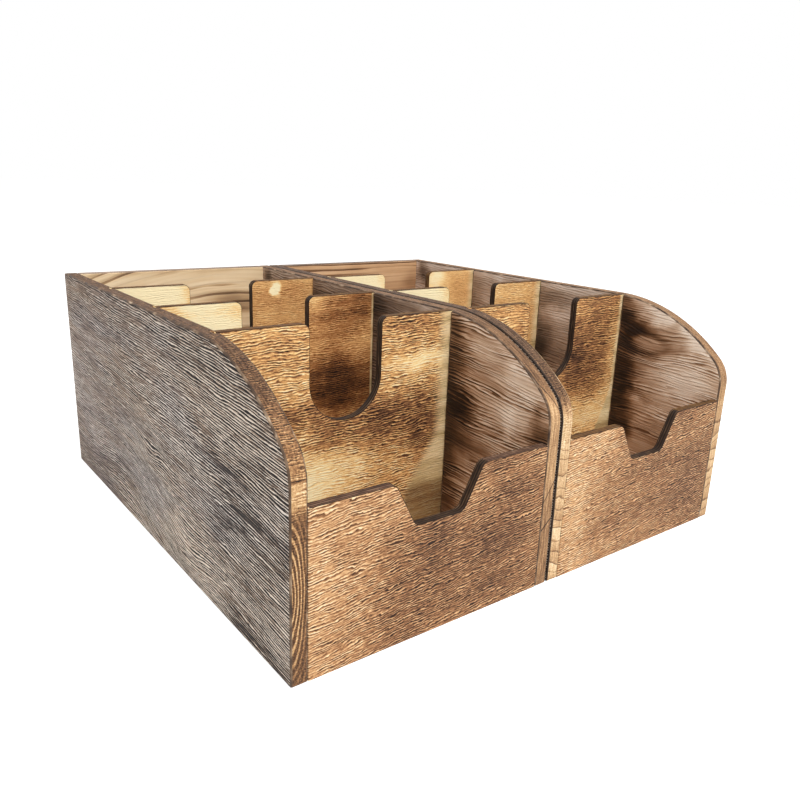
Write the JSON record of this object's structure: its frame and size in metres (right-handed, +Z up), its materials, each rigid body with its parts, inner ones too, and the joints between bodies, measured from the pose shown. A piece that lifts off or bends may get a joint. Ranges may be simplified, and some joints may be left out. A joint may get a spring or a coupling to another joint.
{
  "type": "spice packet organizer",
  "caption": "Open wooden bins standing side by side, with curved sides, low notched fronts and lift-out dividers that keep spice packets upright and sorted.",
  "frame": {"origin": "middle of the footprint of the two bins as they stand together, on the surface that they stand on", "axes": "+X to the right seen from the front, +Y from the low notched fronts to the backs, +Z up"},
  "size_m": [0.2608, 0.264, 0.114],
  "materials": {
    "side_board": "torched and brushed solid wood, grey-brown with dark grain, matt",
    "front_sheet": "torched wood sheet, warm tan with burnt brown patches and charred laser-cut edges, matt",
    "divider_sheet": "lightly torched wood sheet, golden tan with burnt bands and charred laser-cut edges, matt",
    "back_board": "lightly torched solid wood, pale grey-tan, matt",
    "base_sheet": "lightly torched wood sheet, brown, matt",
    "pin_steel": "plain drawn wire"
  },
  "bodies": {
    "left_bin": {"left_bin_left_side": "side_board", "left_bin_right_side": "side_board", "left_bin_front": "front_sheet", "left_bin_back": "back_board", "left_bin_base": "base_sheet", "left_bin_left_front_pin_low": "pin_steel", "left_bin_left_front_pin_high": "pin_steel", "left_bin_left_back_pin_low": "pin_steel", "left_bin_left_back_pin_high": "pin_steel", "left_bin_left_base_pin_front": "pin_steel", "left_bin_left_base_pin_middle": "pin_steel", "left_bin_left_base_pin_rear": "pin_steel", "left_bin_right_front_pin_low": "pin_steel", "left_bin_right_front_pin_high": "pin_steel", "left_bin_right_back_pin_low": "pin_steel", "left_bin_right_back_pin_high": "pin_steel", "left_bin_right_base_pin_front": "pin_steel", "left_bin_right_base_pin_middle": "pin_steel", "left_bin_right_base_pin_rear": "pin_steel"},
    "right_bin": {"right_bin_left_side": "side_board", "right_bin_right_side": "side_board", "right_bin_front": "front_sheet", "right_bin_back": "back_board", "right_bin_base": "base_sheet", "right_bin_left_front_pin_low": "pin_steel", "right_bin_left_front_pin_high": "pin_steel", "right_bin_left_back_pin_low": "pin_steel", "right_bin_left_back_pin_high": "pin_steel", "right_bin_left_base_pin_front": "pin_steel", "right_bin_left_base_pin_middle": "pin_steel", "right_bin_left_base_pin_rear": "pin_steel", "right_bin_right_front_pin_low": "pin_steel", "right_bin_right_front_pin_high": "pin_steel", "right_bin_right_back_pin_low": "pin_steel", "right_bin_right_back_pin_high": "pin_steel", "right_bin_right_base_pin_front": "pin_steel", "right_bin_right_base_pin_middle": "pin_steel", "right_bin_right_base_pin_rear": "pin_steel"},
    "left_front_divider": {"left_bin_front_divider": "divider_sheet"},
    "left_middle_divider": {"left_bin_middle_divider": "divider_sheet"},
    "left_rear_divider": {"left_bin_rear_divider": "divider_sheet"},
    "right_front_divider": {"right_bin_front_divider": "divider_sheet"},
    "right_middle_divider": {"right_bin_middle_divider": "divider_sheet"},
    "right_rear_divider": {"right_bin_rear_divider": "divider_sheet"}
  },
  "joints": [
    {"name": "right_bin_slide", "type": "slide", "parent": "left_bin", "child": "right_bin", "axis": [1, 0, 0], "range_m": [0, 0.15]},
    {"name": "left_front_divider_lift", "type": "slide", "parent": "left_bin", "child": "left_front_divider", "axis": [0, 0, 1], "range_m": [0, 0.12]},
    {"name": "left_middle_divider_lift", "type": "slide", "parent": "left_bin", "child": "left_middle_divider", "axis": [0, 0, 1], "range_m": [0, 0.12]},
    {"name": "left_rear_divider_lift", "type": "slide", "parent": "left_bin", "child": "left_rear_divider", "axis": [0, 0, 1], "range_m": [0, 0.12]},
    {"name": "right_front_divider_lift", "type": "slide", "parent": "right_bin", "child": "right_front_divider", "axis": [0, 0, 1], "range_m": [0, 0.12]},
    {"name": "right_middle_divider_lift", "type": "slide", "parent": "right_bin", "child": "right_middle_divider", "axis": [0, 0, 1], "range_m": [0, 0.12]},
    {"name": "right_rear_divider_lift", "type": "slide", "parent": "right_bin", "child": "right_rear_divider", "axis": [0, 0, 1], "range_m": [0, 0.12]}
  ]
}
